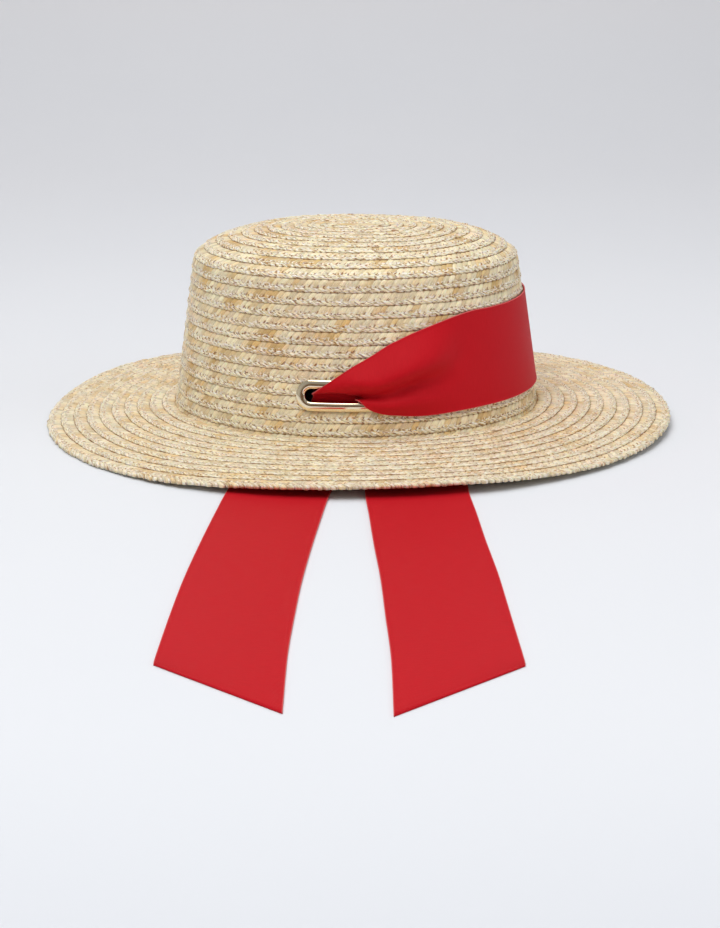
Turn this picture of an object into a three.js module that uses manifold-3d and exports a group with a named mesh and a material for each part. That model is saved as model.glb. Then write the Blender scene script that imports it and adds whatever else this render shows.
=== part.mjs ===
// Straw boater hat with a wide ribbon, lying on a table as it rests by itself.
// Millimetres, +Z up. The table is z = 0 and the origin is under the middle of the crown.
// X runs along the long way of the oval, Y across it. The free ends of the ribbon point to -Y.
import * as THREE from "three";
import { mergeVertices } from "three/addons/utils/BufferGeometryUtils.js";
import Module from "manifold-3d";

const wasm = await Module();
wasm.setup();

// Crown: radii are half widths across the hat, and OVAL is added to them along it.
const HAT_HEIGHT = 105.8; // table to the middle of the tip
const OVAL = 10.5; // how much longer than wide each half of the hat is
const TIP_EDGE_R = 76.2; // where the tip turns into the side
const TIP_DOME = 11.8; // fall of the tip from its middle towards the edge
const TIP_ROLL = 3; // further fall of its last row
const BUTTON_R = 8; // flat start of the braid in the middle of the tip
const SIDE_FOOT_R = 87.9; // where the side ends and the foot turns outwards
const SIDE_FOOT_Z = 11.5;
const FOOT_RADIUS = 5; // turn of the foot, under the brim

// Straw braid
const STRAW = 2.0; // wall at its thinnest, two plies of braid
const LAP = 0.8; // step where a row of braid laps over the one after it
const ROW_PITCH = 6.8; // width that shows of one row

// Brim
const BRIM_R = 158;
const SEAM_Z = 10.2; // upper side of the brim at its seam, below the lap
const BRIM_WAVE = 5.2; // most that the wavy edge lifts off the table
const BRIM_CURVE = 1.2; // how late across the brim it droops
const FOOT_TUCK = 2; // the brim's lower side starts this much further out, over the foot

// Ribbon
const RIBBON_W = 50;
const RIBBON_T = 1.0;
const BAND_LOW_Z = 21.5; // lower edge of the ribbon where it runs flat round the crown

// Eyelets: oblong, long way round the crown
const SLOT_LENGTH = 40;
const SLOT_HEIGHT = 6.6;
const BARREL_WALL = 0.8;
const FLANGE_WIDTH = 4.65; // from the slot's edge to the flange's rim
const FLANGE_PROUD = 1.5; // thickness of the domed flange
const LIP_WIDTH = 2.6; // rolled lip inside the crown
const LIP_THICK = 0.8;
const SLOT_X = -6; // middle of both slots, from the middle of the crown
const SLOT_Z = 32;

// Free ends: where the middle line of each ends, and how far from the middle of the crown its
// outer, shorter edge reaches
const LEFT_END_X = -51;
const LEFT_REACH = 362;
const RIGHT_END_X = 38;
const RIGHT_REACH = 365;
const CUT_DEPTH = 45.5; // how much longer the inner edge is, by the slanted cut

// Clearances
const GAP = 0.3; // between pieces that rest on each other
const INNER_GAP = 0.6; // inside the crown, where the wall is faceted

// Fineness
const TURNS = 48;
const ACROSS = 9; // points across the ribbon
const DEG = Math.PI / 180;

const lerp = THREE.MathUtils.lerp;
const SIDE_HEIGHT = HAT_HEIGHT - LAP - TIP_DOME - TIP_ROLL - SIDE_FOOT_Z;
const SIDE_LEAN = Math.atan((SIDE_FOOT_R - TIP_EDGE_R) / SIDE_HEIGHT);
const WALL = STRAW + LAP;

// One point of the oval that is r from the middle across the hat, where it faces the angle turn.
// The braid starts as a short straight run and every later row keeps the same distance to it.
const OVAL_SOFTNESS = 0.5;
const SOFT_FROM_R = 20;
function ovalPoint(r, turn) {
  const soft = OVAL_SOFTNESS * Math.min(1, r / SOFT_FROM_R);
  const reach = OVAL / (Math.hypot(1, soft) - soft);
  const bow = Math.hypot(Math.cos(turn), soft);
  const far = r + reach * (bow - soft);
  const side = (reach * Math.sin(turn) * Math.cos(turn)) / bow;
  const x = far * Math.cos(turn) + side * Math.sin(turn);
  const y = far * Math.sin(turn) - side * Math.cos(turn);
  return [x, y];
}

// Closed rings of points, joined one to the next. ends says how the first and last ring close.
function skin(rings, ends) {
  const count = rings[0].length;
  const points = rings.flat();
  const faces = [];
  const last = ends === "loop" ? rings.length : rings.length - 1;
  for (let i = 0; i < last; i += 1) {
    const a = i * count;
    const b = ((i + 1) % rings.length) * count;
    for (let j = 0; j < count; j += 1) {
      const k = (j + 1) % count;
      faces.push(a + j, b + j, b + k, a + j, b + k, a + k);
    }
  }
  if (ends === "strip") {
    // Rings whose first half faces their second half, point by point
    for (const start of [0, (rings.length - 1) * count]) {
      for (let j = 0; j < count / 2 - 1; j += 1) {
        const [a, b] = [start + j, start + j + 1];
        const [c, d] = [start + count - 2 - j, start + count - 1 - j];
        const quad = [a, b, c, a, c, d];
        faces.push(...(start === 0 ? quad : quad.reverse()));
      }
    }
  }
  if (ends === "fan") {
    for (const [start, flip] of [[0, false], [(rings.length - 1) * count, true]]) {
      const ring = points.slice(start, start + count);
      const middle = ring.reduce((sum, p) => sum.add(p), new THREE.Vector3()).divideScalar(count);
      const hub = points.push(middle) - 1;
      for (let j = 0; j < count; j += 1) {
        const k = (j + 1) % count;
        faces.push(hub, start + (flip ? k : j), start + (flip ? j : k));
      }
    }
  }
  return outward(points, faces);
}

// A geometry whose faces point out of the solid
function outward(points, faces) {
  let volume = 0;
  for (let i = 0; i < faces.length; i += 3) {
    const [a, b, c] = [points[faces[i]], points[faces[i + 1]], points[faces[i + 2]]];
    volume += a.dot(b.clone().cross(c));
  }
  const index = volume > 0 ? faces : faces.slice().reverse();
  const geometry = new THREE.BufferGeometry();
  geometry.setAttribute("position", new THREE.Float32BufferAttribute(points.flatMap((p) => p.toArray()), 3));
  geometry.setIndex(index);
  return geometry;
}

function toManifold(geometry) {
  const bare = geometry.clone();
  bare.deleteAttribute("normal");
  bare.deleteAttribute("uv");
  const merged = mergeVertices(bare);
  return new wasm.Manifold(new wasm.Mesh({
    numProp: 3,
    vertProperties: new Float32Array(merged.attributes.position.array),
    triVerts: new Uint32Array(merged.index.array),
  }));
}

function fromManifold(solid) {
  const mesh = solid.getMesh();
  const geometry = new THREE.BufferGeometry();
  geometry.setAttribute("position", new THREE.BufferAttribute(mesh.vertProperties, 3));
  geometry.setIndex(new THREE.BufferAttribute(mesh.triVerts, 1));
  return geometry;
}

// Profiles, as points (r, z)
const DOME_POWER = 3;
const ROLL_POWER = 12;
function tipPoint(share) {
  const r = lerp(BUTTON_R, TIP_EDGE_R, share);
  const fall = TIP_DOME * share ** DOME_POWER + TIP_ROLL * share ** ROLL_POWER;
  return new THREE.Vector2(r, HAT_HEIGHT - LAP - fall);
}

const TIP_EDGE = tipPoint(1);
const SIDE_FOOT = new THREE.Vector2(SIDE_FOOT_R, SIDE_FOOT_Z);

function sidePoint(share) {
  return TIP_EDGE.clone().lerp(SIDE_FOOT, share);
}

function sideRadius(z) {
  return SIDE_FOOT_R - (z - SIDE_FOOT_Z) * Math.tan(SIDE_LEAN);
}

// Point of a profile pushed out of the straw by an amount
function pushed(profile, share, amount) {
  const step = 0.001;
  const before = profile(Math.max(0, share - step));
  const after = profile(Math.min(1, share + step));
  const along = after.sub(before).normalize();
  return profile(share).add(new THREE.Vector2(-along.y, along.x).multiplyScalar(amount));
}

// Shingled rows, as places { share, out } along a length: each starts level with the straw
// under it and ends proud, where it laps over the next one
const STEP_SHARE = 0.06;
function lappedRows(length, firstOut, lastOut) {
  const rows = Math.round(length / ROW_PITCH);
  const places = [];
  for (let k = 0; k < rows; k += 1) {
    places.push(k === 0 ? { share: 0, out: firstOut } : { share: (k + STEP_SHARE) / rows, out: 0 });
    places.push({ share: (k + 1) / rows, out: k === rows - 1 ? lastOut : LAP });
  }
  return places;
}

function braided(profile, places) {
  return places.map(({ share, out }) => pushed(profile, share, out));
}

// The foot of the crown turns outwards under the brim
const FOOT_STEPS = 3;
function footArc(radius) {
  const middle = new THREE.Vector2(
    SIDE_FOOT_R + FOOT_RADIUS * Math.cos(SIDE_LEAN),
    SIDE_FOOT_Z + FOOT_RADIUS * Math.sin(SIDE_LEAN),
  );
  const from = Math.PI + SIDE_LEAN;
  const to = 1.5 * Math.PI;
  const arc = [];
  for (let i = 1; i <= FOOT_STEPS; i += 1) {
    const angle = lerp(from, to, i / FOOT_STEPS);
    arc.push(new THREE.Vector2(
      middle.x + radius * Math.cos(angle),
      middle.y + radius * Math.sin(angle),
    ));
  }
  return arc;
}

function ovalRing(point) {
  const ring = [];
  for (let i = 0; i < TURNS; i += 1) {
    const [x, y] = ovalPoint(point.x, (i / TURNS) * 2 * Math.PI);
    ring.push(new THREE.Vector3(x, y, point.y));
  }
  return ring;
}

const INNER_TIP = [0.85, 0.55, 0]; // points of the tip's inner side
function crownGeometry() {
  // The inner corner under the tip's edge is STRAW away from both faces
  const corner = pushed(tipPoint, 1, -1).add(pushed(sidePoint, 0, -1)).addScaledVector(TIP_EDGE, -2);
  corner.multiplyScalar((2 * STRAW) / corner.lengthSq());
  const inner = [
    ...footArc(FOOT_RADIUS + STRAW).reverse(),
    pushed(sidePoint, 1, -STRAW),
    corner.add(TIP_EDGE),
    ...INNER_TIP.map((share) => pushed(tipPoint, share, -STRAW)),
  ];
  const profile = [
    ...braided(tipPoint, lappedRows(TIP_EDGE_R - BUTTON_R, LAP, LAP)),
    ...braided(sidePoint, lappedRows(TIP_EDGE.distanceTo(SIDE_FOOT), 0, LAP)),
    ...footArc(FOOT_RADIUS),
    ...inner,
  ];
  return skin(profile.map(ovalRing), "fan");
}

// The brim's wavy edge. lift is its height off the table in shares of BRIM_WAVE, and reach is
// how much wider the brim is there, in shares of its width.
const BRIM_EDGE = [
  { turn: 0, lift: 0.75, reach: 0.03 },
  { turn: 30, lift: 0.9, reach: 0.03 },
  { turn: 60, lift: 0.6, reach: 0.01 },
  { turn: 92, lift: 0, reach: 0 },
  { turn: 120, lift: 0.7, reach: 0.01 },
  { turn: 145, lift: 0.85, reach: 0.01 },
  { turn: 165, lift: 0.4, reach: 0 },
  { turn: 188, lift: 0, reach: 0 },
  { turn: 218, lift: 0, reach: 0 },
  { turn: 240, lift: 0.3, reach: 0 },
  { turn: 260, lift: 0.85, reach: 0 },
  { turn: 283, lift: 1, reach: 0 },
  { turn: 305, lift: 0.5, reach: 0 },
  { turn: 322, lift: 0.35, reach: 0.01 },
  { turn: 340, lift: 0.6, reach: 0.03 },
];

// A smooth closed line through one column of that table
function brimEdge(turn, column) {
  const full = 360;
  const degrees = (((turn / DEG) % full) + full) % full;
  const count = BRIM_EDGE.length;
  const i = BRIM_EDGE.findLastIndex((row) => row.turn <= degrees);
  const at = (k) => BRIM_EDGE[(k + count) % count];
  const width = (from, to) => (to.turn - from.turn + full) % full;
  const slope = (k) => (at(k + 1)[column] - at(k - 1)[column]) / width(at(k - 1), at(k + 1));
  const span = width(at(i), at(i + 1));
  const t = (degrees - at(i).turn) / span;
  const start = (1 + 2 * t) * (1 - t) ** 2 * at(i)[column] + t * (1 - t) ** 2 * span * slope(i);
  const end = t * t * (3 - 2 * t) * at(i + 1)[column] + t * t * (t - 1) * span * slope(i + 1);
  return Math.max(0, start + end);
}

function brimGeometry() {
  const inner = sideRadius(SEAM_Z) + LAP + GAP;
  const profile = lappedRows(BRIM_R - inner, 0, 0);
  for (const share of [1, 0.5, FOOT_TUCK / (BRIM_R - inner)]) {
    profile.push({ share, out: -STRAW });
  }
  const rings = profile.map(({ share, out }) => {
    const ring = [];
    for (let i = 0; i < TURNS; i += 1) {
      const turn = (i / TURNS) * 2 * Math.PI;
      const droop = SEAM_Z - (BRIM_WAVE * brimEdge(turn, "lift") + STRAW);
      const reach = share * (1 + brimEdge(turn, "reach"));
      const [x, y] = ovalPoint(lerp(inner, BRIM_R, reach), turn);
      ring.push(new THREE.Vector3(x, y, SEAM_Z - droop * share ** BRIM_CURVE + out));
    }
    return ring;
  });
  return skin(rings, "loop");
}

// Places on the crown's side. The walk round the crown is measured at the height of the slots.
const WALK_STEPS = 720;
const walk = [0];
for (let i = 1; i <= WALK_STEPS; i += 1) {
  const [x0, y0] = ovalPoint(sideRadius(SLOT_Z), (i - 1) / WALK_STEPS * Math.PI - Math.PI / 2);
  const [x1, y1] = ovalPoint(sideRadius(SLOT_Z), i / WALK_STEPS * Math.PI - Math.PI / 2);
  walk.push(walk[i - 1] + Math.hypot(x1 - x0, y1 - y0));
}

// Turn at a distance round the crown from its nearest point, towards +X
function turnAt(distance) {
  const length = Math.abs(distance);
  const i = Math.min(WALK_STEPS - 1, walk.findLastIndex((value) => value <= length));
  const part = (length - walk[i]) / (walk[i + 1] - walk[i]);
  return -Math.PI / 2 + Math.sign(distance) * ((i + part) / WALK_STEPS) * Math.PI;
}

// A point out from the crests of the braid; side is 1 near, -1 far
function onSide(turn, z, out, side = 1) {
  const off = LAP + out;
  const [x, y] = ovalPoint(sideRadius(z) + off * Math.cos(SIDE_LEAN), turn);
  return new THREE.Vector3(x, side * y, z + off * Math.sin(SIDE_LEAN));
}

// Oblong loop round the slot, at a distance from the slot's middle line
const BEND_STEPS = 6;
const STRAIGHT_STEPS = 4;
function oblong(distance, out, side) {
  const straight = SLOT_LENGTH / 2 - SLOT_HEIGHT / 2;
  const loop = [];
  for (const end of [1, -1]) {
    for (let i = 0; i <= BEND_STEPS; i += 1) {
      const angle = end * (Math.PI / 2) * (1 - (2 * i) / BEND_STEPS);
      const along = end * (straight + distance * Math.cos(angle));
      const up = distance * Math.sin(angle);
      loop.push(onSide(turnAt(SLOT_X + along), SLOT_Z + up, out, side));
    }
    for (let i = 1; i < STRAIGHT_STEPS; i += 1) {
      const along = end * straight * (1 - (2 * i) / STRAIGHT_STEPS);
      loop.push(onSide(turnAt(SLOT_X + along), SLOT_Z - end * distance, out, side));
    }
  }
  return loop;
}

// Dome of the flange, in shares of its width and of how proud it stands
const FLANGE_DOME = [
  { across: 0, up: 0.4 },
  { across: 0.35, up: 1 },
  { across: 0.8, up: 0.8 },
];

function eyeletGeometry(side) {
  const hole = SLOT_HEIGHT / 2;
  const barrel = hole + BARREL_WALL;
  const lip = hole + LIP_WIDTH;
  const inside = -(WALL + INNER_GAP);
  const profile = [
    ...FLANGE_DOME.map(({ across, up }) => [hole + across * FLANGE_WIDTH, GAP + up * FLANGE_PROUD]),
    [hole + FLANGE_WIDTH, GAP],
    [barrel, GAP],
    [barrel, inside],
    [lip, inside],
    [lip, inside - LIP_THICK],
    [hole, inside - LIP_THICK],
  ];
  return skin(profile.map(([distance, out]) => oblong(distance, out, side)), "loop");
}

// Cutter for the slot in the crown, clear of the barrel
function slotCutter(side) {
  const distance = SLOT_HEIGHT / 2 + BARREL_WALL + GAP;
  const reach = WALL + 2 * INNER_GAP + LIP_THICK;
  return skin([oblong(distance, reach, side), oblong(distance, -reach, side)], "fan");
}

// Ribbon, as a sheet of points: one row of ACROSS points for each station along it.
// The upper edge comes first; on the table it is the edge away from the crown's middle.
const SEAT = GAP + RIBBON_T / 2;
const FLANGE_SEAT = GAP + FLANGE_PROUD + GAP + RIBBON_T / 2;

// Smooth row through five places: upper edge, upper lobe, valley, lower lobe, lower edge
function smoothRow(places) {
  const curve = new THREE.CatmullRomCurve3(places, false, "centripetal");
  return curve.getSpacedPoints(ACROSS - 1);
}

function bandRow(turn) {
  const row = [];
  for (let j = 0; j < ACROSS; j += 1) {
    const z = BAND_LOW_Z + RIBBON_W * Math.cos(SIDE_LEAN) * (1 - j / (ACROSS - 1));
    row.push(onSide(turn, z, SEAT));
  }
  return row;
}

// Where the ribbon gathers into a slot, from its mouth to the flat band: five places a row.
// along is in shares of the slot's length from its middle, up in shares of the ribbon's width
// above it. depth is 0 where the ribbon clears the eyelet's flange, 0.21 on the straw beside it,
// 1 behind the eyelet's lip and below 0 where it bulges.
const GATHERS = [
  { along: [-0.41, -0.22, -0.02, 0.18, 0.38], up: [0.01, 0.03, 0.01, 0.025, 0],
    depth: [0.75, 0.9, 1, 1.15, 1.3] },
  { along: [-0.4, -0.22, -0.02, 0.18, 0.37], up: [0.02, 0.03, 0.028, 0.012, 0],
    depth: [0.18, 0.28, 0.5, 0.8, 1.05] },
  { along: [-0.15, -0.1, 0.05, 0.2, 0.26], up: [0.16, 0.088, 0.02, -0.01, -0.035],
    depth: [-0.08, -0.14, 0.42, 0.9, 1.12] },
  { along: [0.1, 0.12, 0.22, 0.23, 0.13], up: [0.29, 0.12, 0.01, -0.026, -0.04],
    depth: [0.1, -0.55, 0.42, 0.6, 0.78] },
  { along: [0.27, 0.28, 0.33, 0.28, 0.19], up: [0.365, 0.11, 0.0, -0.04, -0.05],
    depth: [0.15, -0.7, 0.3, 0, -0.05] },
  { along: [0.38, 0.39, 0.4, 0.35, 0.3], up: [0.415, 0.115, 0.005, -0.07, -0.13],
    depth: [0.2, -0.78, 0.24, -0.18, -0.04] },
  { along: [0.58, 0.58, 0.57, 0.54, 0.5], up: [0.51, 0.17, 0.025, -0.1, -0.186],
    depth: [0.21, -0.92, -0.02, -0.38, 0.08] },
  { along: [0.7, 0.7, 0.69, 0.67, 0.64], up: [0.55, 0.2, 0.055, -0.09, -0.2],
    depth: [0.2, -0.95, 0.12, -0.38, 0.14] },
  { along: [0.85, 0.85, 0.83, 0.8, 0.79], up: [0.6, 0.25, 0.09, -0.08, -0.215],
    depth: [0.2, -0.92, 0.16, -0.32, 0.18] },
  { along: [1.13, 1.13, 1.11, 1.09, 1.07], up: [0.67, 0.32, 0.13, -0.06, -0.226],
    depth: [0.19, -0.64, 0.14, -0.12, 0.18] },
  { along: [1.53, 1.53, 1.52, 1.51, 1.5], up: [0.75, 0.512, 0.272, 0.025, -0.215],
    depth: [0.19, 0.16, 0.18, 0.15, 0.18] },
];
const INSIDE_SEAT = -(WALL + INNER_GAP + LIP_THICK + GAP + RIBBON_T / 2);

function gatherRow({ along, up, depth }, side) {
  const places = along.map((share, i) => onSide(
    turnAt(SLOT_X + share * SLOT_LENGTH),
    SLOT_Z + up[i] * RIBBON_W,
    lerp(FLANGE_SEAT, INSIDE_SEAT, depth[i]),
    side,
  ));
  return smoothRow(places);
}

// The fall inside the crown, from the slot to just above the table. fall is in shares of the
// slot's height off the table, width and shift of the ribbon's width, out of its thickness.
const FALLS = [
  { fall: 0.1, width: 0.72, shift: 0, out: 0.6 },
  { fall: 0.32, width: 0.88, shift: -0.05, out: 0.9 },
  { fall: 0.62, width: 1, shift: -0.17, out: 1 },
];

function fallRow({ fall, width, shift, out }, side) {
  const row = [];
  for (let j = 0; j < ACROSS; j += 1) {
    const along = (shift + width * (j / (ACROSS - 1) - 0.5)) * RIBBON_W;
    const z = SLOT_Z * (1 - fall);
    row.push(onSide(turnAt(SLOT_X + along), z, INSIDE_SEAT - out * RIBBON_T, side));
  }
  return row;
}

// A straight row across the ribbon where it lies flat. early and late are how far the two
// edges lie back from its middle, for the slanted cut.
function layRow(x, y, z, heading, early = 0, late = 0) {
  const forth = new THREE.Vector3(Math.sin(heading), -Math.cos(heading), 0);
  const across = new THREE.Vector3(Math.cos(heading), Math.sin(heading), 0);
  const row = [];
  for (let j = 0; j < ACROSS; j += 1) {
    const share = j / (ACROSS - 1);
    const point = new THREE.Vector3(x, y, z);
    point.addScaledVector(across, (share - 0.5) * RIBBON_W);
    point.addScaledVector(forth, lerp(early, late, share));
    row.push(point);
  }
  return row;
}

// Middle lines of the two runs on the table. reach is in shares of the free end's reach, sway
// in shares of the way from the slot's x to the end's x.
const LEFT_RUN = [
  { reach: 0.255, sway: 0.36 },
  { reach: 0.29, sway: 0.48 },
  { reach: 0.34, sway: 0.6 },
  { reach: 0.39, sway: 0.684 },
  { reach: 0.5, sway: 0.775 },
  { reach: 0.73, sway: 0.92 },
  { reach: 0.86, sway: 0.969 },
  { reach: 0.985, sway: 1 },
];
const RIGHT_RUN = [
  { reach: -0.19, sway: 0.06 },
  { reach: 0.1, sway: 0.67 },
  { reach: 0.2, sway: 0.82 },
  { reach: 0.27, sway: 0.84 },
  { reach: 0.39, sway: 0.793 },
  { reach: 0.5, sway: 0.834 },
  { reach: 0.61, sway: 0.875 },
  { reach: 0.73, sway: 0.93 },
  { reach: 0.86, sway: 0.966 },
  { reach: 0.985, sway: 1 },
];
// The turn from the fall to the table, as shares of the way forth and of the height left
const TURNS_DOWN = [
  { forth: 0.14, up: 0.52 },
  { forth: 0.45, up: 0.16 },
];

// The rows that lie on the table, with the slanted cut at the end: the edge nearer the middle
// is the longer one
function freeRows(run, endX, endReach, side) {
  const mid = run.map(({ reach, sway }) => (
    new THREE.Vector2(lerp(SLOT_X, endX, sway), -reach * endReach)
  ));
  const flat = mid.map((point, i) => {
    const before = mid[Math.max(0, i - 1)];
    const after = mid[Math.min(mid.length - 1, i + 1)];
    const heading = Math.atan2(after.x - before.x, before.y - after.y);
    return layRow(point.x, point.y, RIBBON_T / 2, heading);
  });
  const wall = fallRow(FALLS.at(-1), side);
  const turned = TURNS_DOWN.map(({ forth, up }) => wall.map((point, j) => {
    const turn = point.clone().lerp(flat[0][j], forth);
    turn.z = lerp(RIBBON_T / 2, point.z, up);
    return turn;
  }));
  const outer = endReach * (1 - run.at(-1).reach);
  const cut = side > 0 ? [outer, outer + CUT_DEPTH] : [outer + CUT_DEPTH, outer];
  const last = mid.at(-1);
  flat.push(layRow(last.x, last.y, RIBBON_T / 2, 0, ...cut));
  return [...turned, ...flat];
}

// Rows between the rows of a list, on smooth lines through them
function refined(rows, times) {
  const count = (rows.length - 1) * times;
  const columns = rows[0].map((_, j) => {
    const curve = new THREE.CatmullRomCurve3(rows.map((row) => row[j]), false, "catmullrom", 0.5);
    return curve.getPoints(count);
  });
  return Array.from({ length: count + 1 }, (_, i) => columns.map((column) => column[i]));
}

function oneSide(run, endX, endReach, side) {
  const gathered = refined([
    ...FALLS.toReversed().map((row) => fallRow(row, side)),
    ...GATHERS.map((row) => gatherRow(row, side)),
  ], 2);
  return [...freeRows(run, endX, endReach, side).reverse(), ...gathered];
}

// From here, in shares of the slot's length from its middle, the ribbon is a flat band
const BAND_START = 1.55;
function ribbonSheet() {
  const flat = [];
  const first = Math.ceil((turnAt(SLOT_X + BAND_START * SLOT_LENGTH) / (2 * Math.PI)) * TURNS);
  for (let i = first; i <= -first; i += 1) {
    flat.push(bandRow((i / TURNS) * 2 * Math.PI));
  }
  return [
    ...oneSide(LEFT_RUN, LEFT_END_X, LEFT_REACH, 1),
    ...flat,
    ...oneSide(RIGHT_RUN, RIGHT_END_X, RIGHT_REACH, -1).reverse(),
  ];
}

// A sheet of points given its thickness
function thickened(sheet, thickness) {
  const clamp = THREE.MathUtils.clamp;
  const at = (i, j) => sheet[clamp(i, 0, sheet.length - 1)][clamp(j, 0, ACROSS - 1)];
  const rings = sheet.map((row, i) => {
    const normals = row.map((_, j) => {
      const along = at(i + 1, j).clone().sub(at(i - 1, j));
      const across = at(i, j + 1).clone().sub(at(i, j - 1));
      return along.cross(across).normalize();
    });
    const front = row.map((point, j) => point.clone().addScaledVector(normals[j], thickness / 2));
    const back = row.map((point, j) => point.clone().addScaledVector(normals[j], -thickness / 2));
    return [...front, ...back.reverse()];
  });
  return skin(rings, "strip");
}

// Parts
const straw = { roughness: 0.75, metalness: 0 };
const materials = {
  crown: new THREE.MeshStandardMaterial({ color: 0xd9bd84, ...straw }),
  brim: new THREE.MeshStandardMaterial({ color: 0xe6cf9c, ...straw }),
  ribbon: new THREE.MeshStandardMaterial({ color: 0xb81f2b, roughness: 0.5, metalness: 0 }),
  eyelet: new THREE.MeshStandardMaterial({ color: 0xd9d4c4, roughness: 0.2, metalness: 1 }),
};

function mesh(name, geometry, material) {
  const item = new THREE.Mesh(geometry, material.clone());
  item.name = name;
  return item;
}

const shell = toManifold(crownGeometry());
const slotted = shell.subtract(toManifold(slotCutter(1))).subtract(toManifold(slotCutter(-1)));

const hat = new THREE.Group();
hat.name = "straw_boater";
hat.add(mesh("crown", fromManifold(slotted), materials.crown));
hat.add(mesh("brim", brimGeometry(), materials.brim));
hat.add(mesh("ribbon", thickened(ribbonSheet(), RIBBON_T), materials.ribbon));
hat.add(mesh("eyelet_near", eyeletGeometry(1), materials.eyelet));
hat.add(mesh("eyelet_far", eyeletGeometry(-1), materials.eyelet));

export default hat;
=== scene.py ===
# %% [markdown]
# A straw boater with a wide ribbon, lying on a table.
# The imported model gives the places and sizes. This lesson dresses it: the straw becomes real rows
# of sewn plait, the ribbon becomes thin cloth, and the eyelets become polished metal.
# Every length below is in millimetres until it reaches a mesh, where MM turns it into metres.

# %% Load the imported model
import math

import bmesh
import bpy
import numpy as np
from mathutils import Matrix, Vector


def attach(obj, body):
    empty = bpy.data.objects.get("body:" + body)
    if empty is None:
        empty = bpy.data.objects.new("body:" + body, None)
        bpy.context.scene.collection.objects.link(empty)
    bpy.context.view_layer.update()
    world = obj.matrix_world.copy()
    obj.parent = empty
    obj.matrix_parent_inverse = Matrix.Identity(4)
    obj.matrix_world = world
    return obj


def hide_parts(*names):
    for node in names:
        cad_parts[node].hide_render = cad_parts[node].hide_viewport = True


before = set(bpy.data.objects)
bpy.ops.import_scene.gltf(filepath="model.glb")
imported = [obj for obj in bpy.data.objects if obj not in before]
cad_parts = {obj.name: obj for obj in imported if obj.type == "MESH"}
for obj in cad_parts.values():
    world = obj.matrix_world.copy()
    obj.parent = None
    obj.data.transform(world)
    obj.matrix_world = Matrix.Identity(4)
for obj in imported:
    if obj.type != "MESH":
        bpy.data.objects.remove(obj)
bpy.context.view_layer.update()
MM = 0.001


def added_up(steps):
    return np.concatenate([[0], np.cumsum(steps)])


def upright(a, b):
    """Unit vectors at right angles to both."""
    normal = np.cross(a, b)
    return normal / np.linalg.norm(normal, axis=-1, keepdims=True)


def link(name, data):
    made = bpy.data.objects.new(name, data)
    bpy.context.collection.objects.link(made)
    return made


def smooth_mesh(name, points, faces):
    """A mesh from points in millimetres, shaded smooth."""
    mesh = bpy.data.meshes.new(name)
    mesh.from_pydata((points * MM).tolist(), [], faces)
    mesh.polygons.foreach_set("use_smooth", np.ones(len(faces), bool))
    return mesh


print("nodes:", sorted(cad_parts))

# %% [markdown]
# The camera comes first, because everything after it is judged through it.
# It stands about a metre in front of the hat, a little above it, and looks down by 16.5 degrees.
# Its picture is turned by a third of a degree, as a camera in the hand often is.
# A 75 mm lens on a 36 mm sensor keeps the hat's oval from looking stretched.

# %% Camera
CAMERA_PLACE = (1.7, -1034, 277)
CAMERA_PITCH = 16.49
CAMERA_ROLL = -0.3
camera_data = bpy.data.cameras.new("camera")
camera_data.lens = 75
camera_data.sensor_width = 36
camera = link("camera", camera_data)
look_down = Matrix.Rotation(math.radians(90 - CAMERA_PITCH), 4, "X")
turn_picture = Matrix.Rotation(math.radians(CAMERA_ROLL), 4, "Z")
camera.matrix_world = Matrix.Translation(Vector(CAMERA_PLACE) * MM) @ look_down @ turn_picture
bpy.context.scene.camera = camera
print("camera looks down by", CAMERA_PITCH, "degrees")

# %% [markdown]
# The hat is an oval, and every row of straw keeps the same distance to the row inside it.
# An ellipse can't do that, so the oval is written by the way it faces: for each angle it gives the
# point whose outward direction has that angle. Moving outward then keeps the rows parallel.

# %% The hat's oval
OVAL = 10.5
OVAL_SOFTNESS = 0.5
SOFT_FROM_R = 20
FULL = 2 * math.pi


def oval(r, turn):
    """Points of the oval that is r from the middle across the hat, facing the angle turn."""
    soft = OVAL_SOFTNESS * np.minimum(1, r / SOFT_FROM_R)
    reach = OVAL / (np.hypot(1, soft) - soft)
    bow = np.maximum(1e-6, np.hypot(np.cos(turn), soft))
    far = r + reach * (bow - soft)
    side = reach * np.sin(turn) * np.cos(turn) / bow
    return far * np.cos(turn) + side * np.sin(turn), far * np.sin(turn) - side * np.cos(turn)


print("half the head's length:", round(float(oval(np.array(85.0), np.array(0.0))[0]), 1))

# %% [markdown]
# The crown is one line turned round that oval: a nearly flat tip that rolls over at its edge, a
# side that leans in a little, and a foot that turns outward under the brim.
# The line is stored densely, by the distance walked along it, so that rows can be measured on it.

# %% The crown's line
HAT_HEIGHT = 105.8
TIP_EDGE_R = 76.2
TIP_DOME = 11.8
TIP_ROLL = 3
BUTTON_R = 8
SIDE_FOOT_R = 87.9
SIDE_FOOT_Z = 11.5
FOOT_RADIUS = 5
STRAW = 2.0
LAP = 0.8
GAP = 0.3
DOME_POWER = 3  # the higher, the flatter the middle of the tip
ROLL_POWER = 12  # the higher, the tighter the tip's edge
LINE_STEP = 0.25
ROUNDING = 9  # points of the line that are averaged to round its corner
TIP_POINTS, FOOT_POINTS = 400, 40
TIP_EDGE_Z = HAT_HEIGHT - LAP - TIP_DOME - TIP_ROLL
SIDE_LEAN = math.atan((SIDE_FOOT_R - TIP_EDGE_R) / (TIP_EDGE_Z - SIDE_FOOT_Z))


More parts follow.
